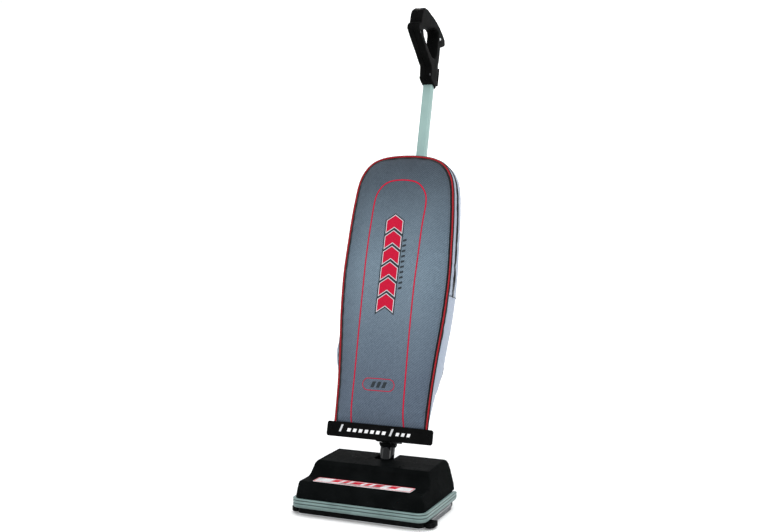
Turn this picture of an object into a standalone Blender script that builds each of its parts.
"""Upright commercial vacuum cleaner: low motor base with a full-width brush roll, a swivelling neck, a slim
aluminium tube that carries a soft outer bag, and a moulded loop grip. Metres, +Z up, front towards -Y, origin on
the floor under the middle of the base."""

import math

import bmesh
import bpy
from mathutils import Matrix, Vector

# ---------------------------------------------------------------- driving dimensions (metres)
GAP = 0.0003  # clearance between touching pieces

BASE_HALF_W = 0.1555  # base frame, half width
BASE_FRONT = -0.1135
BASE_REAR = 0.0865
BUMPER_HALF_W = 0.1625
BUMPER_FRONT = -0.1200
BUMPER_REAR = 0.0840
BUMPER_Z = (0.0200, 0.0413)
HOOD_BOTTOM = 0.0416
SHELF_Z = 0.0780  # low nose of the hood
PLATEAU_Z = 0.1130  # top of the hood
SKIN = 0.0025  # moulded wall

BRUSH_Y, BRUSH_Z = -0.0855, 0.0245  # brush roll axis
BRUSH_CORE_R, BRUSH_TIP_R = 0.0165, 0.0225
SHAFT_Y, SHAFT_Z = 0.0, 0.0620  # motor shaft axis
SHAFT_R = 0.0040
MOTOR_R = 0.0350
FAN_R = 0.0420
BELT_X = (0.1112, 0.1208)
WHEEL_Y, WHEEL_R = 0.0800, 0.0200

PIVOT = (0.0, 0.0430, 0.0780)  # handle hinge
LEAN = math.radians(15.45)  # parked handle leans back by this
NECK_R, NECK_BORE_R = 0.0175, 0.0150
BARREL_R, BARREL_HALF = 0.0180, 0.0300
PLATE_HALF_W = 0.1335
PLATE_S = (0.0700, 0.1050)
PLATE_F = 0.0665
TUBE_HALF_W = 0.0110
TUBE_F = (-0.0330, -0.0145)
TUBE_S = (0.0790, 0.9850)
BAG_BOTTOM, BAG_TOP = 0.1080, 0.7565
BAG_FRONT, BAG_BACK = 0.0600, -0.0065
BAG_WALL = 0.0025
PIPING_R = 0.0024
HEM_TAPER = 0.42  # the back narrows by this times its depth at the hem
# half width of the bag at heights along the handle: narrow hem, widest at mid height, round shoulders
BAG_STATIONS = (
    (0.108, 0.1165), (0.190, 0.1185), (0.271, 0.1240), (0.371, 0.1325), (0.464, 0.1360),
    (0.528, 0.1340), (0.592, 0.1312), (0.644, 0.1270), (0.690, 0.1205), (0.7185, 0.1083),
    (0.7390, 0.0890), (0.7500, 0.0640), (0.7550, 0.0330),
)
GRIP_HALF_W = 0.0160

# ---------------------------------------------------------------- scene
for old in list(bpy.data.objects):
    bpy.data.objects.remove(old, do_unlink=True)
PART = bpy.data.collections.new("upright_vacuum")
CUTS = bpy.data.collections.new("cutters")
CUTS.hide_render = True
for group in (PART, CUTS):
    bpy.context.scene.collection.children.link(group)

BLACK = ((0.012, 0.012, 0.014), 0.45, 0.0)
GLOSS = ((0.010, 0.010, 0.011), 0.18, 0.0)
VINYL = ((0.22, 0.33, 0.31), 0.55, 0.0)
STEEL = ((0.55, 0.56, 0.57), 0.35, 1.0)
TUBE_ALU = ((0.42, 0.56, 0.54), 0.32, 0.9)
COPPER = ((0.72, 0.35, 0.18), 0.35, 1.0)
RUBBER = ((0.02, 0.02, 0.02), 0.8, 0.0)
GREY = ((0.35, 0.36, 0.38), 0.55, 0.0)
WOOD = ((0.48, 0.33, 0.18), 0.6, 0.0)
BRISTLE = ((0.20, 0.21, 0.22), 0.9, 0.0)
CLOTH = ((0.17, 0.24, 0.32), 0.9, 0.0)
GUSSET = ((0.62, 0.67, 0.78), 0.9, 0.0)
RED = ((0.60, 0.02, 0.04), 0.6, 0.0)
PAPER = ((0.62, 0.50, 0.36), 0.9, 0.0)
WHITE = ((0.80, 0.80, 0.80), 0.4, 0.0)
CARBON = ((0.03, 0.03, 0.03), 0.6, 0.0)


def finish_material(name, finish):
    """One Principled material: colour, roughness and metallic."""
    mat = bpy.data.materials.new(name)
    mat.use_nodes = True
    node = mat.node_tree.nodes["Principled BSDF"]
    node.inputs["Base Color"].default_value = (*finish[0], 1.0)
    node.inputs["Roughness"].default_value = finish[1]
    node.inputs["Metallic"].default_value = finish[2]
    mat.diffuse_color = (*finish[0], 1.0)
    return mat


def place(name, mesh, finish, parent=None):
    """Adds an object. finish None makes it a cutter."""
    obj = bpy.data.objects.new(name, mesh)
    if finish is None:
        CUTS.objects.link(obj)
        obj.hide_render = True
        obj.display_type = "WIRE"
    else:
        PART.objects.link(obj)
        mesh.materials.append(finish_material(name + "_finish", finish))
    obj.parent = parent
    return obj


def mesh_of(name, bm):
    bmesh.ops.recalc_face_normals(bm, faces=bm.faces)
    mesh = bpy.data.meshes.new(name)
    bm.to_mesh(mesh)
    bm.free()
    return mesh


def smooth(obj, angle=35):
    obj.data.shade_smooth()
    obj.data.set_sharp_from_angle(angle=math.radians(angle))


def bevel(obj, width, segments=2, angle=40):
    mod = obj.modifiers.new("round_edges", "BEVEL")
    mod.width = width
    mod.segments = segments
    mod.limit_method = "ANGLE"
    mod.angle_limit = math.radians(angle)
    return obj


def boolean(obj, other, operation="DIFFERENCE"):
    mod = obj.modifiers.new(operation.lower() + "_" + other.name, "BOOLEAN")
    mod.operation = operation
    mod.solver = "EXACT"
    mod.object = other
    return obj


def box(name, lo, hi, finish, parent=None, round_by=0.0, segments=2, frame=None):
    """A block from corner to corner, with its scale applied in the mesh."""
    bm = bmesh.new()
    bmesh.ops.create_cube(bm, size=1.0)
    size = [h - l for l, h in zip(lo, hi)]
    mid = [(h + l) / 2 for l, h in zip(lo, hi)]
    bmesh.ops.scale(bm, vec=size, verts=bm.verts)
    bmesh.ops.translate(bm, vec=mid, verts=bm.verts)
    if frame is not None:
        bmesh.ops.transform(bm, matrix=frame, verts=bm.verts)
    obj = place(name, mesh_of(name, bm), finish, parent)
    if round_by:
        bevel(obj, round_by, segments)
    return obj


def rod(name, start, end, radius, finish, parent=None, segments=24):
    """A round bar between two points."""
    start, end = Vector(start), Vector(end)
    along = end - start
    frame = Matrix.Translation((start + end) / 2) @ along.to_track_quat("Z", "Y").to_matrix().to_4x4()
    bm = bmesh.new()
    bmesh.ops.create_cone(bm, cap_ends=True, segments=segments, radius1=radius, radius2=radius, depth=along.length)
    bmesh.ops.transform(bm, matrix=frame, verts=bm.verts)
    obj = place(name, mesh_of(name, bm), finish, parent)
    smooth(obj)
    return obj


def turned(name, profile, at, finish, parent=None, steps=32, closed=False, axis="X"):
    """A turned piece. profile is (radius, height along the axis), from the top down the outer side."""
    bm = bmesh.new()
    points = [bm.verts.new((r, 0.0, h)) for r, h in profile]
    for a, b in zip(points, points[1:] + points[:1] if closed else points[1:]):
        bm.edges.new((a, b))
    mesh = bpy.data.meshes.new(name)
    bm.to_mesh(mesh)
    bm.free()
    obj = place(name, mesh, finish, parent)
    mod = obj.modifiers.new("turn", "SCREW")
    mod.axis = "Z"
    mod.steps = mod.render_steps = steps
    mod.use_merge_vertices = True
    mod.merge_threshold = 0.00001
    mod.use_smooth_shade = True
    obj.location = at
    if axis == "X":
        obj.rotation_euler = (0.0, math.radians(90), 0.0)
    elif axis == "F":
        obj.rotation_euler = (math.radians(90), 0.0, 0.0)
    return obj


def ring(name, r_in, r_out, x0, x1, at_y, at_z, finish, parent=None, steps=32, chamfer=0.0):
    """A turned ring on an axis along X."""
    c = chamfer
    outer = [(r_out - c, x1), (r_out, x1 - c), (r_out, x0 + c), (r_out - c, x0)] if c else [(r_out, x1), (r_out, x0)]
    return turned(name, outer + [(r_in, x0), (r_in, x1)], (0, at_y, at_z), finish, parent, steps, closed=True)


def outline_mesh(name, loops, depth, frame, round_by=0.0):
    """Flat outlines (the later ones are holes) extruded from 0 to depth along the frame's third axis.
    round_by rolls the edges over inside the outline."""
    curve = bpy.data.curves.new(name + "_outline", "CURVE")
    curve.dimensions = "2D"
    curve.fill_mode = "BOTH"
    curve.extrude = depth / 2 - round_by
    curve.bevel_depth = round_by
    curve.bevel_resolution = 1
    curve.offset = -round_by
    for loop in loops:
        spline = curve.splines.new("POLY")
        spline.points.add(len(loop) - 1)
        for point, (a, b) in zip(spline.points, loop):
            point.co = (a, b, 0.0, 1.0)
        spline.use_cyclic_u = True
    guide = bpy.data.objects.new(name + "_outline", curve)
    bpy.context.scene.collection.objects.link(guide)
    graph = bpy.context.evaluated_depsgraph_get()
    mesh = bpy.data.meshes.new_from_object(guide.evaluated_get(graph))
    bm = bmesh.new()
    bm.from_mesh(mesh)
    bmesh.ops.remove_doubles(bm, verts=bm.verts, dist=0.000001)
    bmesh.ops.translate(bm, vec=(0, 0, depth / 2), verts=bm.verts)
    bmesh.ops.transform(bm, matrix=frame, verts=bm.verts)
    bmesh.ops.recalc_face_normals(bm, faces=bm.faces)
    bpy.data.objects.remove(guide, do_unlink=True)
    bpy.data.meshes.remove(mesh)
    result = bpy.data.meshes.new(name)
    bm.to_mesh(result)
    bm.free()
    return result


def axes(a, b, c, at=(0, 0, 0)):
    """A frame whose columns are the directions a, b and c."""
    frame = Matrix.Identity(4)
    for column, vector in enumerate((a, b, c)):
        for row in range(3):
            frame[row][column] = vector[row]
    return Matrix.Translation(at) @ frame


def rounded(lo, hi, radius, corner_steps=4):
    """The corner points of a rectangle with round corners."""
    points = []
    for cx, cy, start in (
        (hi[0] - radius, hi[1] - radius, 0), (lo[0] + radius, hi[1] - radius, 90),
        (lo[0] + radius, lo[1] + radius, 180), (hi[0] - radius, lo[1] + radius, 270),
    ):
        for k in range(corner_steps + 1):
            a = math.radians(start + 90 * k / corner_steps)
            points.append((cx + radius * math.cos(a), cy + radius * math.sin(a)))
    return points


def plate(name, loops, depth, frame, finish, parent=None, round_by=0.0):
    obj = place(name, outline_mesh(name, loops, depth, frame, round_by), finish, parent)
    smooth(obj)
    return obj


def hollow_tube(name, points, radius, wall, finish, parent=None, resolution=2):
    """An open bent tube: a swept circle with its wall thickness."""
    curve = bpy.data.curves.new(name + "_path", "CURVE")
    curve.dimensions = "3D"
    curve.bevel_depth = radius
    curve.bevel_resolution = resolution
    spline = curve.splines.new("POLY")
    spline.points.add(len(points) - 1)
    for point, co in zip(spline.points, points):
        point.co = (*co, 1.0)
    guide = bpy.data.objects.new(name + "_path", curve)
    bpy.context.scene.collection.objects.link(guide)
    graph = bpy.context.evaluated_depsgraph_get()
    mesh = bpy.data.meshes.new_from_object(guide.evaluated_get(graph))
    bpy.data.objects.remove(guide, do_unlink=True)
    mesh.name = name
    obj = place(name, mesh, finish, parent)
    mod = obj.modifiers.new("wall", "SOLIDIFY")
    mod.thickness = wall
    mod.offset = -1.0
    smooth(obj)
    return obj


def bar(name, points, radius, finish, parent=None, cyclic=False, resolution=2):
    """A solid round bar, cord or piping along a path."""
    curve = bpy.data.curves.new(name, "CURVE")
    curve.dimensions = "3D"
    curve.bevel_depth = radius
    curve.bevel_resolution = resolution
    curve.use_fill_caps = True
    spline = curve.splines.new("POLY")
    spline.points.add(len(points) - 1)
    for point, co in zip(spline.points, points):
        point.co = (*co, 1.0)
    spline.use_cyclic_u = cyclic
    return place(name, curve, finish, parent)


def loft(rings, cap_first=False, cap_last=False):
    """Skin through rings that hold the same number of points."""
    bm = bmesh.new()
    rows = [[bm.verts.new(co) for co in row] for row in rings]
    count = len(rows[0])
    for upper, lower in zip(rows, rows[1:]):
        for k in range(count):
            bm.faces.new((upper[k], upper[(k + 1) % count], lower[(k + 1) % count], lower[k]))
    if cap_first:
        bm.faces.new(rows[0])
    if cap_last:
        bm.faces.new(rows[-1][::-1])
    return bm


def rounded_nose(lo, hi, front, rear, corner_steps=5):
    """A rectangle in plan with one corner radius at the front (low y) and another at the rear."""
    points = []
    for cx, cy, start, radius in (
        (hi[0] - rear, hi[1] - rear, 0, rear), (lo[0] + rear, hi[1] - rear, 90, rear),
        (lo[0] + front, lo[1] + front, 180, front), (hi[0] - front, lo[1] + front, 270, front),
    ):
        for k in range(corner_steps + 1):
            a = math.radians(start + 90 * k / corner_steps)
            points.append((cx + radius * math.cos(a), cy + radius * math.sin(a)))
    return points


X, Y, Z = (1, 0, 0), (0, 1, 0), (0, 0, 1)
FRONT_VIEW = axes(X, Z, Y)  # outline in (x, z), extruded along +y
SIDE_VIEW = axes(Y, Z, X)  # outline in (y, z), extruded along +x
TOP_VIEW = axes(X, Y, Z)

# ================================================================ base
# Base frame: moulded tray with the brush opening, wheel notches and axle brackets
frame_outline = rounded_nose((-BASE_HALF_W, BASE_FRONT), (BASE_HALF_W, BASE_REAR), 0.013, 0.008)
base_frame = plate("base_frame", [frame_outline], 0.0365, TOP_VIEW @ Matrix.Translation((0, 0, 0.0045)), BLACK)
pocket = plate("cut_frame_pocket", [rounded_nose((-BASE_HALF_W + 0.003, BASE_FRONT + 0.003), (BASE_HALF_W - 0.003, BASE_REAR - 0.003), 0.010, 0.005)],
               0.05, TOP_VIEW @ Matrix.Translation((0, 0, 0.0070)), None)
boolean(base_frame, pocket)
for side, sign in (("left", -1), ("right", 1)):
    ear = box(f"add_axle_bracket_{side}", (min(sign * 0.088, sign * 0.0925), 0.066, 0.0060),
              (max(sign * 0.088, sign * 0.0925), 0.0850, 0.030), None)
    boolean(base_frame, ear, "UNION")
    notch = box(f"cut_wheel_notch_{side}", (min(sign * 0.0955, sign * 0.1285), 0.055, -0.01),
                (max(sign * 0.0955, sign * 0.1285), 0.105, 0.05), None)
    boolean(base_frame, notch)
boolean(base_frame, box("cut_frame_brush_opening", (-0.1385, -0.1090, -0.01), (0.1385, -0.0610, 0.05), None))
boolean(base_frame, rod("cut_frame_axle", (-0.14, WHEEL_Y, 0.02), (0.14, WHEEL_Y, 0.02), 0.0034, None, segments=16))

# Sole plate: steel sheet with the brush opening and a stamped skid that rests on the floor
sole_plate = plate("sole_plate", [rounded_nose((-0.1550, -0.1130), (0.1550, 0.0860), 0.0127, 0.0078),
                                  rounded((-0.1385, -0.1085), (0.1385, -0.0620), 0.004)],
                   0.0020, TOP_VIEW @ Matrix.Translation((0, 0, 0.0022)), STEEL)
boolean(sole_plate, box("add_skid", (-0.0900, -0.0350, 0.0), (0.0900, 0.0120, 0.0030), None), "UNION")
for side, sign in (("left", -1), ("right", 1)):
    boolean(sole_plate, box(f"cut_sole_wheel_{side}", (min(sign * 0.0955, sign * 0.1285), 0.055, -0.01),
                            (max(sign * 0.0955, sign * 0.1285), 0.105, 0.02), None))

# Bumper: soft strip round the front and both sides
def bumper_outline(half_w, front, radius):
    points = [(half_w, BUMPER_REAR)]
    for k in range(7):
        a = math.radians(-90 * k / 6)
        points.append((half_w - radius + radius * math.cos(a), front + radius + radius * math.sin(a)))
    return points + [(-x, y) for x, y in reversed(points)]


bumper_loop = bumper_outline(BUMPER_HALF_W, BUMPER_FRONT, 0.0200) + bumper_outline(
    BASE_HALF_W + GAP, BASE_FRONT - GAP, 0.0131)[::-1]
bumper = plate("bumper", [bumper_loop], BUMPER_Z[1] - BUMPER_Z[0], TOP_VIEW @ Matrix.Translation((0, 0, BUMPER_Z[0])), VINYL)


# Hood: side profile and front profile intersected, then hollowed from below
def hood_side(inset, floor):
    """Side view (y, z): upright nose, low shelf, concave step, high plateau, rear wall."""
    points = [(-0.1140 + inset, floor), (-0.1110 + inset, SHELF_Z - 0.008 - inset), (-0.1085 + inset, SHELF_Z - 0.002 - inset),
              (-0.1030 + inset, SHELF_Z - inset)]
    cy, cz, rise = -0.0660 + inset, SHELF_Z + 0.0300 - inset, 0.0300
    points.append((-0.0640 + inset, SHELF_Z - inset))
    for k in range(1, 6):
        a = math.radians(-90 + 80 * k / 5)
        points.append((cy + 0.0240 * math.cos(a), cz + rise * math.sin(a)))
    points += [(-0.0385 + inset, PLATEAU_Z - 0.0045 - inset), (-0.0340 + inset, PLATEAU_Z - 0.0020 - inset),
               (0.0200, PLATEAU_Z - 0.0003 - inset), (0.0780 - inset, PLATEAU_Z - inset), (0.0835 - inset, PLATEAU_Z - 0.004 - inset),
               (0.0880 - inset, 0.060), (0.0885 - inset, floor)]
    return points


def hood_front(inset, floor):
    """Front view (x, z): sides lean in and turn over into the top."""
    half = [(0.1555 - inset, floor), (0.1545 - inset, 0.055), (0.1515 - inset, 0.0735), (0.1485 - inset, 0.0905),
            (0.1440 - inset, 0.1045), (0.1395 - inset, 0.1105 - inset), (0.1320 - inset, 0.1200 - inset)]
    return half + [(-x, z) for x, z in reversed(half)]


hood = plate("hood", [hood_side(0.0, HOOD_BOTTOM)], 0.40, SIDE_VIEW @ Matrix.Translation((0, 0, -0.20)), BLACK)
boolean(hood, plate("keep_hood_front", [hood_front(0.0, 0.0)], 0.40, FRONT_VIEW @ Matrix.Translation((0, 0, -0.20)), None), "INTERSECT")
boolean(hood, plate("keep_hood_plan", [rounded_nose((-0.1556, -0.1141), (0.1556, 0.0886), 0.0180, 0.0060)], 0.20, TOP_VIEW, None), "INTERSECT")
hollow = plate("cut_hood_inside", [hood_side(SKIN, 0.030)], 0.40, SIDE_VIEW @ Matrix.Translation((0, 0, -0.20)), None)
boolean(hollow, plate("keep_hood_inside", [hood_front(SKIN, 0.010)], 0.40, FRONT_VIEW @ Matrix.Translation((0, 0, -0.20)), None), "INTERSECT")
boolean(hollow, plate("keep_hood_inside_plan", [rounded_nose((-0.1556 + SKIN, -0.1141 + SKIN), (0.1556 - SKIN, 0.0886 - SKIN), 0.0155, 0.0035)], 0.20, TOP_VIEW, None), "INTERSECT")
boolean(hood, hollow)
boolean(hood, box("cut_neck_slot", (-0.0218, 0.0245, 0.0500), (0.0218, 0.1100, 0.1400), None))
for side, sign in (("left", -1), ("right", 1)):
    boolean(hood, rod(f"cut_hood_screw_{side}", (sign * 0.070, 0.092, 0.060), (sign * 0.070, 0.070, 0.060), 0.0024, None, segments=12))
    turned(f"hood_screw_{side}", [(0.0, 0.0020), (0.0030, 0.0018), (0.0042, 0.0004), (0.0042, 0.0), (0.0020, 0.0), (0.0020, -0.0080), (0.0, -0.0080)],
           (sign * 0.070, 0.0886, 0.060), STEEL, steps=12).rotation_euler = (math.radians(-90), 0, 0)

# Nose panel: plain trim plate on the low shelf of the hood
nose_panel = plate("nose_panel", [rounded((-0.1205, -0.1010), (0.1205, -0.0660), 0.004, 3)], 0.0010,
                   TOP_VIEW @ Matrix.Translation((0, 0, SHELF_Z + GAP)), WHITE)

# Edge brushes: a holder tab at each front corner and a bristle strip along each side
for side, sign in (("left", -1), ("right", 1)):
    tab = [(0.1558, -0.0990), (0.1580, -0.1040), (0.1690, -0.1040), (0.1755, -0.0960), (0.1765, -0.0760), (0.1740, -0.0705), (0.1558, -0.0700)]
    plate(f"edge_brush_holder_{side}", [[(sign * a, b) for a, b in tab]], 0.0100, TOP_VIEW @ Matrix.Translation((0, 0, 0.0040)), BLACK)
    box(f"edge_bristles_{side}", (min(sign * 0.1560, sign * 0.1600), -0.0690, 0.0010), (max(sign * 0.1560, sign * 0.1600), 0.0600, 0.0150), BRISTLE)

# Brush roll: wooden core with two twisted bristle rows, bare where the belt runs
rings = []
for x, rows in ((-0.1395, 0), (-0.1365, 0), (-0.1355, 1), (-0.105, 1), (-0.075, 1), (-0.045, 1), (-0.015, 1), (0.015, 1), (0.045, 1),
                (0.075, 1), (0.1055, 1), (0.1075, 0), (0.1245, 0), (0.1262, 1), (0.1355, 1), (0.1365, 0), (0.1395, 0)):
    twist = 2.6 * x / 0.28
    row = []
    for k in range(20):
        offset = k % 10
        radius = BRUSH_CORE_R if offset or not rows else BRUSH_TIP_R
        angle = math.radians(18 * k) + twist
        if offset in (1, 9):
            angle += math.radians(-9 if offset == 1 else 9)
        row.append((x, BRUSH_Y + radius * math.cos(angle), BRUSH_Z + radius * math.sin(angle)))
    rings.append(row)
brush_roll = place("brush_roll", mesh_of("brush_roll", loft(rings, True, True)), WOOD)
boolean(brush_roll, rod("cut_brush_bore", (-0.15, BRUSH_Y, BRUSH_Z), (0.15, BRUSH_Y, BRUSH_Z), 0.0036, None, segments=16))
rod("brush_axle", (-0.1480, BRUSH_Y, BRUSH_Z), (0.1480, BRUSH_Y, BRUSH_Z), 0.0030, STEEL, segments=16)
for side, sign in (("left", -1), ("right", 1)):
    cap = box(f"brush_end_cap_{side}", (min(sign * 0.1405, sign * 0.1520), BRUSH_Y - 0.0180, 0.0075),
              (max(sign * 0.1405, sign * 0.1520), BRUSH_Y + 0.0180, 0.0410), GREY, round_by=0.002, segments=1)
    boolean(cap, rod(f"cut_cap_{side}", (sign * 0.130, BRUSH_Y, BRUSH_Z), (sign * 0.160, BRUSH_Y, BRUSH_Z), 0.0033, None, segments=16))


# Drive belt: flat loop from the motor pulley to the brush roll
def belt_loop(extra):
    r1, r2 = BRUSH_CORE_R + extra, 0.0075 + extra
    dy, dz = SHAFT_Y - BRUSH_Y, SHAFT_Z - BRUSH_Z
    along = math.atan2(dz, dy)
    open_by = math.acos((r1 - r2) / math.hypot(dy, dz))
    points = []
    for k in range(15):
        a = along + open_by + (2 * math.pi - 2 * open_by) * k / 14
        points.append((BRUSH_Y + r1 * math.cos(a), BRUSH_Z + r1 * math.sin(a)))
    for k in range(9):
        a = along - open_by + 2 * open_by * k / 8
        points.append((SHAFT_Y + r2 * math.cos(a), SHAFT_Z + r2 * math.sin(a)))
    return points


plate("drive_belt", [belt_loop(0.0017), belt_loop(0.0004)], BELT_X[1] - BELT_X[0], SIDE_VIEW @ Matrix.Translation((0, 0, BELT_X[0])), RUBBER)

# Motor: can, end cap, stator ring, carbon brushes and bearings; armature, commutator, pulley and fan on the shaft
turned("motor_housing", [(MOTOR_R - 0.003, 0.0980), (MOTOR_R, 0.0980), (MOTOR_R, 0.0430), (MOTOR_R - 0.003, 0.0400), (0.0076, 0.0400),
                         (0.0076, 0.0450), (MOTOR_R - 0.003, 0.0450)][::1], (0, SHAFT_Y, SHAFT_Z), STEEL, closed=True, steps=36)
turned("motor_end_cap", [(0.0076, 0.1050), (0.0140, 0.1050), (0.0150, 0.1020), (MOTOR_R - 0.003, 0.1020), (MOTOR_R, 0.1000), (MOTOR_R, 0.0983), (0.0076, 0.0983)],
       (0, SHAFT_Y, SHAFT_Z), BLACK, closed=True, steps=36)
ring("stator", 0.0235, 0.0315, 0.0480, 0.0780, SHAFT_Y, SHAFT_Z, COPPER, chamfer=0.001, steps=28)
ring("bearing_left", 0.0043, 0.0073, 0.0405, 0.0445, SHAFT_Y, SHAFT_Z, STEEL, steps=20)
ring("bearing_right", 0.0043, 0.0073, 0.0990, 0.1040, SHAFT_Y, SHAFT_Z, STEEL, steps=20)
box("carbon_brush_front", (0.0830, -0.0300, SHAFT_Z - 0.003), (0.0900, -0.0114, SHAFT_Z + 0.003), CARBON)
box("carbon_brush_rear", (0.0830, 0.0114, SHAFT_Z - 0.003), (0.0900, 0.0300, SHAFT_Z + 0.003), CARBON)
rod("motor_shaft", (-0.0740, SHAFT_Y, SHAFT_Z), (0.1245, SHAFT_Y, SHAFT_Z), SHAFT_R, STEEL, segments=20)
ring("armature", 0.0043, 0.0222, 0.0500, 0.0760, SHAFT_Y, SHAFT_Z, COPPER, chamfer=0.002, steps=24)
ring("commutator", 0.0043, 0.0110, 0.0800, 0.0930, SHAFT_Y, SHAFT_Z, COPPER, chamfer=0.0005, steps=24)
turned("motor_pulley", [(0.0043, 0.1235), (0.0098, 0.1235), (0.0098, 0.1222), (0.0075, 0.1215), (0.0075, 0.1105), (0.0098, 0.1098), (0.0098, 0.1085),
                        (0.0043, 0.1085)], (0, SHAFT_Y, SHAFT_Z), STEEL, closed=True, steps=24)

# Fan: scroll housing in two halves round a bladed wheel
turned("fan_housing_outer", [(FAN_R - 0.0022, -0.0655), (FAN_R, -0.0655), (FAN_R, -0.0750), (FAN_R - 0.003, -0.0780), (0.0140, -0.0780),
                             (0.0140, -0.0758), (FAN_R - 0.0022, -0.0758)], (0, SHAFT_Y, SHAFT_Z), GREY, closed=True, steps=36)
fan_inner = turned("fan_housing_inner", [(0.0060, -0.0520), (FAN_R - 0.003, -0.0520), (FAN_R, -0.0550), (FAN_R, -0.0652), (FAN_R - 0.0022, -0.0652),
                                         (FAN_R - 0.0022, -0.0542), (0.0060, -0.0542)], (0, SHAFT_Y, SHAFT_Z), GREY, closed=True, steps=36)
boolean(fan_inner, rod("cut_fan_outlet", (-0.060, 0.0240, 0.0800), (-0.050, 0.0240, 0.0800), 0.0080, None, segments=16))
impeller = turned("fan_impeller", [(0.0, -0.0570), (0.0370, -0.0570), (0.0370, -0.0590), (0.0110, -0.0600), (0.0080, -0.0720), (0.0, -0.0720)],
                  (0, SHAFT_Y, SHAFT_Z), GREY, steps=32)
blades = []
for k in range(8):
    turn = 2 * math.pi * k / 8
    for radius, shift in ((0.0095, -0.35), (0.0360, 0.12), (0.0360, 0.17), (0.0095, -0.15)):
        blades.append((SHAFT_Y + radius * math.cos(turn + shift), SHAFT_Z + radius * math.sin(turn + shift)))
boolean(impeller, plate("add_blades", [blades], 0.0135, SIDE_VIEW @ Matrix.Translation((0, 0, -0.0720)), None), "UNION")
boolean(impeller, rod("cut_impeller_bore", (-0.09, SHAFT_Y, SHAFT_Z), (-0.04, SHAFT_Y, SHAFT_Z), 0.0043, None, segments=20))
hollow_tube("inlet_duct", [(-0.1000, -0.0570, 0.0470), (-0.1000, -0.0350, 0.0550), (-0.0990, -0.0150, 0.0600), (-0.0960, -0.0050, 0.0615),
                           (-0.0900, 0.0, 0.0620), (-0.0785, 0.0, 0.0620)], 0.0135, 0.0018, GREY, resolution=4)
transfer = box("transfer_duct", (-0.0515, 0.0120, 0.0580), (-0.0310, 0.0660, 0.0985), GREY)
boolean(transfer, box("cut_transfer_inside", (-0.0495, 0.0140, 0.0600), (-0.0330, 0.0640, 0.0965), None))
boolean(transfer, rod("cut_transfer_in", (-0.055, 0.0240, 0.0800), (-0.045, 0.0240, 0.0800), 0.0080, None, segments=16))
boolean(transfer, rod("cut_transfer_out", (-0.040, PIVOT[1], PIVOT[2]), (-0.025, PIVOT[1], PIVOT[2]), 0.0155, None, segments=24))

# Handle bearing blocks and rear wheels
for side, sign in (("left", -1), ("right", 1)):
    block = box(f"pivot_block_{side}", (min(sign * 0.0222, sign * 0.0295), 0.0215, 0.0073), (max(sign * 0.0222, sign * 0.0295), 0.0645, 0.0985), BLACK)
    boolean(block, rod(f"cut_pivot_{side}", (sign * 0.015, PIVOT[1], PIVOT[2]), (sign * 0.035, PIVOT[1], PIVOT[2]), BARREL_R + 0.0005, None, segments=32))
    inner, outer = sorted((sign * 0.1000, sign * 0.1240))
    wheel = turned(f"wheel_{side}", [(0.0038, outer), (0.0120, outer), (0.0130, outer - 0.002), (0.0165, outer - 0.002), (0.0190, outer - 0.0005), (WHEEL_R, outer - 0.003),
                                     (WHEEL_R, inner + 0.003), (0.0190, inner + 0.0005), (0.0165, inner + 0.002), (0.0130, inner + 0.002), (0.0120, inner), (0.0038, inner)],
                   (0, WHEEL_Y, WHEEL_R), RUBBER, closed=True, steps=28)
rod("rear_axle", (-0.1300, WHEEL_Y, WHEEL_R), (0.1300, WHEEL_Y, WHEEL_R), 0.0030, STEEL, segments=16)

# ================================================================ handle, drawn upright about its hinge and leaned back
HANDLE = bpy.data.objects.new("handle_axis", None)
PART.objects.link(HANDLE)
HANDLE.location = PIVOT
HANDLE.rotation_euler = (-LEAN, 0, 0)


def hbox(name, x, f, s, finish, round_by=0.0, segments=2):
    """A block in handle terms: x across, f forward, s up the handle."""
    return box(name, (x[0], -f[1], s[0]), (x[1], -f[0], s[1]), finish, HANDLE, round_by, segments)


H_TOP = axes((1, 0, 0), (0, -1, 0), (0, 0, 1))  # outline in (x, f), extruded up the handle
H_SIDE = axes((0, -1, 0), (0, 0, 1), (1, 0, 0))  # outline in (f, s), extruded across
H_FRONT = axes((1, 0, 0), (0, 0, 1), (0, -1, 0))  # outline in (x, s), extruded forward

# Neck: horizontal swivel barrel with the dirt duct rising out of it
neck = rod("neck_duct", (-BARREL_HALF, 0, 0), (BARREL_HALF, 0, 0), BARREL_R, GLOSS, HANDLE, segments=32)
riser = rod("add_neck_riser", (0, 0, 0), (0, 0, 0.0625), NECK_R, None, HANDLE, segments=28)
boolean(neck, riser, "UNION")
boolean(neck, rod("cut_barrel_bore", (-0.0320, 0, 0), (0.0270, 0, 0), 0.0153, None, HANDLE, segments=24))
boolean(neck, rod("cut_neck_bore", (0, 0, 0), (0, 0, 0.0800), NECK_BORE_R, None, HANDLE, segments=24))
turned("neck_collar", [(0.0215, 0.0677), (0.0215, 0.0640), (0.0190, 0.0582), (NECK_R + GAP, 0.0582), (NECK_R + GAP, 0.0677)], (0, 0, 0), BLACK,
       HANDLE, steps=28, closed=True, axis="Z")

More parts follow.
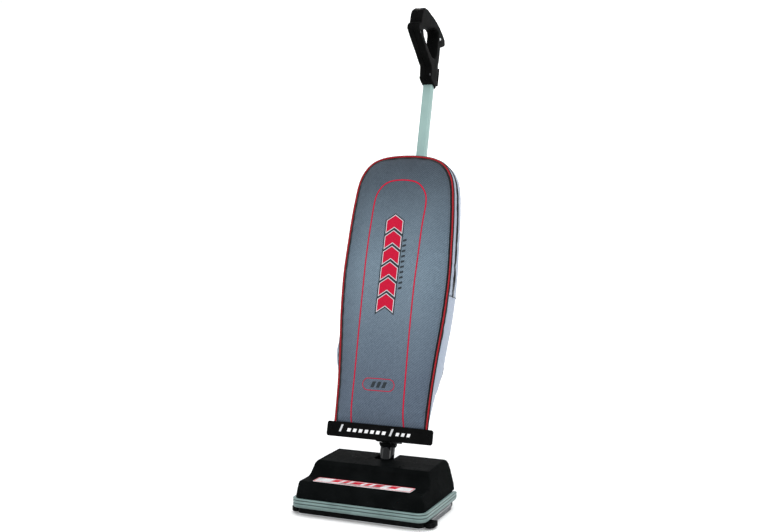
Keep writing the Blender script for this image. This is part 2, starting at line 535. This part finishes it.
# Lower bracket: carries the tube, the bag plate and the duct into the bag
bracket = hbox("lower_bracket", (-0.0200, 0.0200), (-0.0375, 0.0300), (0.0682, 0.1030), BLACK)
boolean(bracket, hbox("add_socket", (-0.0155, 0.0155), (-0.0375, -0.0100), (0.1000, 0.1350), None), "UNION")
boolean(bracket, hbox("add_arm", (-0.0300, 0.0300), (0.0250, 0.0598), (0.0740, 0.1000), None), "UNION")
boolean(bracket, hbox("cut_bracket_tube", (-0.0113, 0.0113), (TUBE_F[0] - GAP, TUBE_F[1] + GAP), (0.0787, 0.1500), None))
boolean(bracket, rod("cut_bracket_duct", (0, -0.0140, 0.060), (0, -0.0140, 0.110), 0.0128, None, HANDLE, segments=24))
hbox("bag_plate", (-PLATE_HALF_W, PLATE_HALF_W), (0.0601, PLATE_F), PLATE_S, BLACK, round_by=0.0025)

# Tube: extruded aluminium with round edges
plate("handle_tube", [rounded((-TUBE_HALF_W, TUBE_F[0]), (TUBE_HALF_W, TUBE_F[1]), 0.0045, 3),
                      rounded((-TUBE_HALF_W + 0.0014, TUBE_F[0] + 0.0014), (TUBE_HALF_W - 0.0014, TUBE_F[1] - 0.0014), 0.0032, 3)],
      TUBE_S[1] - TUBE_S[0], H_TOP @ Matrix.Translation((0, 0, TUBE_S[0])), TUBE_ALU, HANDLE)
bar("power_lead", [(0, 0.0237, 0.085), (0, 0.0237, 0.35), (0, 0.0237, 0.65), (0, 0.0237, 0.975)], 0.0030, RUBBER, HANDLE)
clamp = hbox("tube_clamp", (-0.0160, 0.0160), (-0.0375, -0.0100), (0.6950, 0.7200), BLACK, round_by=0.0015, segments=1)
boolean(clamp, hbox("cut_clamp", (-0.0113, 0.0113), (TUBE_F[0] - GAP, TUBE_F[1] + GAP), (0.6, 0.8), None))

# Dust path inside the bag: fill tube, card collar and paper bag
fill = rod("fill_tube", (0, -0.0140, 0.0945), (0, -0.0140, 0.1700), 0.0125, GREY, HANDLE, segments=24)
boolean(fill, rod("cut_fill", (0, -0.0140, 0.080), (0, -0.0140, 0.200), 0.0110, None, HANDLE, segments=24))
dock = hbox("bag_dock", (-0.0450, 0.0450), (0.0020, 0.0500), (0.1260, 0.1290), PAPER)
boolean(dock, rod("cut_dock", (0, -0.0140, 0.10), (0, -0.0140, 0.15), 0.0129, None, HANDLE, segments=24))
paper = hbox("paper_bag", (-0.0800, 0.0800), (-0.0012, 0.0520), (0.1295, 0.6600), PAPER)
boolean(paper, hbox("cut_paper_inside", (-0.0785, 0.0785), (0.0002, 0.0505), (0.1310, 0.6585), None))
boolean(paper, rod("cut_paper_mouth", (0, -0.0140, 0.10), (0, -0.0140, 0.15), 0.0136, None, HANDLE, segments=24))


# Outer bag
def bag_half_width(s):
    """Smooth half width between the stations."""
    stations = ((2 * BAG_STATIONS[0][0] - BAG_STATIONS[1][0], BAG_STATIONS[0][1]),) + BAG_STATIONS + ((BAG_TOP, 0.0),)
    for k in range(1, len(stations) - 2):
        (s0, w0), (s1, w1), (s2, w2), (s3, w3) = stations[k - 1:k + 3]
        if s1 <= s <= s2:
            t = (s - s1) / (s2 - s1)
            m1 = (w2 - w0) / (s2 - s0) * (s2 - s1)
            m2 = (w3 - w1) / (s3 - s1) * (s2 - s1)
            return (2 * t**3 - 3 * t**2 + 1) * w1 + (t**3 - 2 * t**2 + t) * m1 + (3 * t**2 - 2 * t**3) * w2 + (t**3 - t**2) * m2
    return BAG_STATIONS[-1][1]


def bag_right_side():
    """Points (x, s) up the right edge, from the hem to the middle of the top."""
    return [(bag_half_width(s), s) for s in (0.108, 0.150, 0.190, 0.230, 0.271, 0.311, 0.351, 0.391, 0.427, 0.464, 0.500, 0.540, 0.580,
                                            0.616, 0.648, 0.676, 0.700, 0.7185, 0.7310, 0.7410, 0.7500, 0.7550)] + [(0.0, BAG_TOP)]


def bag_outline(grow=0.0):
    """Closed outline (x, s), moved outwards by grow along its own normals."""
    right = bag_right_side()
    loop = right + [(-x, s) for x, s in reversed(right[:-1])]
    result = []
    for k, (x, s) in enumerate(loop):
        before, after = loop[k - 1], loop[(k + 1) % len(loop)]
        out = []
        for a, b in ((before, (x, s)), ((x, s), after)):
            dx, ds = b[0] - a[0], b[1] - a[1]
            size = math.hypot(dx, ds)
            out.append((ds / size, -dx / size))
        nx, ns = out[0][0] + out[1][0], out[0][1] + out[1][1]
        size = math.hypot(nx, ns)
        scale = grow / max(size / 2, 0.5)
        result.append((x + nx / size * scale, s + ns / size * scale))
    return result


def bag_ring(grow, f):
    """The outline at depth f. Towards the hem the back of the bag is narrower than its front."""
    ring = []
    for x, s in bag_outline(grow):
        t = min(max((0.255 - s) / 0.147, 0.0), 1.0)
        t = t * t * (3 - 2 * t)
        ring.append((math.copysign(max(abs(x) - HEM_TAPER * t * (BAG_FRONT - f), 0.0), x), -f, s))
    return ring


def shell(name, rings, finish, outward, cap_last=True):
    bm = loft(rings, False, cap_last)
    bmesh.ops.recalc_face_normals(bm, faces=bm.faces)
    probe = max(bm.faces, key=lambda face: abs(face.calc_center_median().y - rings[0][0][1]))
    if (probe.normal.y > 0) != (outward > 0):
        bmesh.ops.reverse_faces(bm, faces=bm.faces)
    mesh = bpy.data.meshes.new(name)
    bm.to_mesh(mesh)
    bm.free()
    obj = place(name, mesh, finish, HANDLE)
    mod = obj.modifiers.new("cloth_wall", "SOLIDIFY")
    mod.thickness = BAG_WALL
    mod.offset = -1.0
    mod.use_even_offset = True
    smooth(obj, 60)
    return obj


bag_body = shell("bag_body", [bag_ring(-0.0030, BAG_FRONT), bag_ring(0.0010, 0.0450), bag_ring(0.0025, 0.0260), bag_ring(0.0010, 0.0080), bag_ring(-0.0060, -0.0020),
                              bag_ring(-0.0170, BAG_BACK)], GUSSET, +1)
boolean(bag_body, rod("cut_bag_inlet", (0, -0.0140, 0.095), (0, -0.0140, 0.131), 0.0130, None, HANDLE, segments=24))


def crown_ring(scale, f):
    """The panel outline drawn in towards the middle of the bag."""
    mid = (BAG_BOTTOM + BAG_TOP) / 2
    return [(x * scale, -f, mid + (s - mid) * (1 - (1 - scale) * 0.42)) for x, s in bag_outline(-0.0030)]


bag_front = shell("bag_front", [crown_ring(1.0, BAG_FRONT + 0.0008), crown_ring(1.0, 0.0636), crown_ring(0.965, 0.0655), crown_ring(0.86, 0.0695), crown_ring(0.62, 0.0750),
                                crown_ring(0.30, 0.0775)], CLOTH, -1)
bar("bag_piping", bag_ring(0.0, BAG_FRONT + 0.0010), PIPING_R, RED, HANDLE, cyclic=True)

# Zip: tape over the shoulders of the bag and a pull that runs up the side
right_tape = [(x, s) for x, s in bag_outline(0.0020)[:23] if s > 0.420]
tape_in = right_tape + [(-x, s) for x, s in reversed(right_tape[:-1])]
right_tape = [(x, s) for x, s in bag_outline(0.0034)[:23] if s > 0.420]
tape_out = right_tape + [(-x, s) for x, s in reversed(right_tape[:-1])]
plate("zip_tape", [tape_out + tape_in[::-1]], 0.0070, H_FRONT @ Matrix.Translation((0, 0, 0.0395)), BLACK, HANDLE)
zip_slider = hbox("zip_slider", (0.1399, 0.1432), (0.0385, 0.0480), (0.4400, 0.4540), STEEL, round_by=0.0008, segments=1)
boolean(zip_slider, hbox("add_zip_tab", (0.1420, 0.1435), (0.0410, 0.0455), (0.4160, 0.4450), None), "UNION")

# Lower cord hook, fixed on the back of the tube
lower_hook = [(-0.0334, 0.2450), (-0.0334, 0.1950), (-0.0560, 0.1950), (-0.0600, 0.1900), (-0.0600, 0.1700), (-0.0650, 0.1700), (-0.0650, 0.1960),
              (-0.0600, 0.2020), (-0.0420, 0.2030), (-0.0390, 0.2080), (-0.0390, 0.2450)]
plate("cord_hook_lower", [lower_hook], 0.0180, H_SIDE @ Matrix.Translation((0, 0, -0.0090)), BLACK, HANDLE)

# Grip: loop handle moulded in two halves that close on the tube
GRIP_OUTLINE = [(-0.0350, 0.9615), (-0.0370, 0.9700), (-0.0370, 1.0270), (-0.0390, 1.0320), (-0.0400, 1.0500), (-0.0395, 1.0735), (-0.0570, 1.0820), (-0.0675, 1.0885),
                (-0.0705, 1.0945), (-0.0645, 1.1045), (-0.0450, 1.1125), (-0.0210, 1.1182), (0.0010, 1.1225), (0.0220, 1.1258), (0.0450, 1.1285),
                (0.0670, 1.1320), (0.0870, 1.1295), (0.1020, 1.1175), (0.1060, 1.1060), (0.1070, 1.0850), (0.1185, 1.0765), (0.1200, 1.0640),
                (0.0970, 1.0506), (0.0720, 1.0370), (0.0500, 1.0263), (0.0325, 1.0160), (0.0116, 1.0050), (0.0092, 0.9900), (0.0092, 0.9760),
                (-0.0020, 0.9700), (-0.0150, 0.9660)]
FINGER_LOOP = [(-0.0145, 1.0440), (-0.0145, 1.0980), (-0.0105, 1.1035), (0.0010, 1.1060), (0.0200, 1.1030), (0.0500, 1.0915), (0.0770, 1.0780),
               (0.0840, 1.0710), (0.0775, 1.0608), (0.0575, 1.0488), (0.0325, 1.0370), (0.0095, 1.0300), (-0.0055, 1.0320)]
SWITCH_F, SWITCH_S = 0.0940, 1.1223

T_DIR, N_DIR = (0.0, 0.7765, 0.6301), (0.0, -0.6301, 0.7765)  # along and out of the sloping top, in the handle's x, -f, s
SWITCH = axes((1, 0, 0), T_DIR, N_DIR, (0, -SWITCH_F, SWITCH_S))
tube_bore = hbox("cut_grip_tube", (-0.0113, 0.0113), (TUBE_F[0] - GAP, TUBE_F[1] + GAP), (0.900, 0.9853), None)
pocket = box("cut_switch_pocket", (-0.0070, -0.0092, -0.0135), (0.0070, 0.0092, 0.0100), None, HANDLE, frame=SWITCH)
for side, sign in (("left", -1), ("right", 1)):
    shift = 0.0002 if sign > 0 else -GRIP_HALF_W
    half = plate(f"grip_{side}", [GRIP_OUTLINE, FINGER_LOOP], 2 * GRIP_HALF_W, H_SIDE @ Matrix.Translation((0, 0, -GRIP_HALF_W)), BLACK, HANDLE, round_by=0.005)
    keep_x = sorted((sign * 0.0002, sign * 0.0300))
    boolean(half, hbox(f"keep_grip_{side}", keep_x, (-0.20, 0.20), (0.90, 1.20), None), "INTERSECT")
    boolean(half, tube_bore)
    boolean(half, pocket)
rocker_body = [(-0.0076, -0.0020), (-0.0076, 0.0030), (0.0, 0.0016), (0.0076, 0.0006), (0.0076, -0.0040), (0.0, -0.0052)]
rocker = plate("switch_rocker", [rocker_body], 0.0126, SWITCH @ axes((0, 1, 0), (0, 0, 1), (1, 0, 0)) @ Matrix.Translation((0, 0, -0.0063)), GREY, HANDLE)
box("switch_body", (-0.0066, -0.0076, -0.0132), (0.0066, 0.0076, -0.0066), BLACK, HANDLE, frame=SWITCH)
gland = rod("cord_gland", (0, 0.0424, 1.0450), (0, 0.0490, 1.0450), 0.0062, BLACK, HANDLE, segments=20)
boolean(gland, rod("cut_gland", (0, 0.0300, 1.0450), (0, 0.0550, 1.0450), 0.0036, None, HANDLE, segments=16))
turned("grip_screw", [(0.0, 0.0022), (0.0026, 0.0020), (0.0036, 0.0006), (0.0036, 0.0), (0.0, 0.0)], (GRIP_HALF_W + GAP, 0.0270, 1.0920), STEEL, HANDLE, steps=12)

# Upper cord hook: turns half a turn on the back of the grip to drop the cord
upper_hook = [(-0.0374, 0.9740), (-0.0374, 1.0220), (-0.0400, 1.0220), (-0.0400, 0.9860), (-0.0475, 0.9860), (-0.0475, 1.0210), (-0.0495, 1.0220),
              (-0.0515, 1.0200), (-0.0515, 0.9760), (-0.0495, 0.9740)]
plate("cord_hook_upper", [upper_hook], 0.0280, H_SIDE @ Matrix.Translation((0, 0, -0.0140)), BLACK, HANDLE)

for obj in list(PART.objects):
    for mod in obj.modifiers:
        mod.show_render = mod.show_viewport
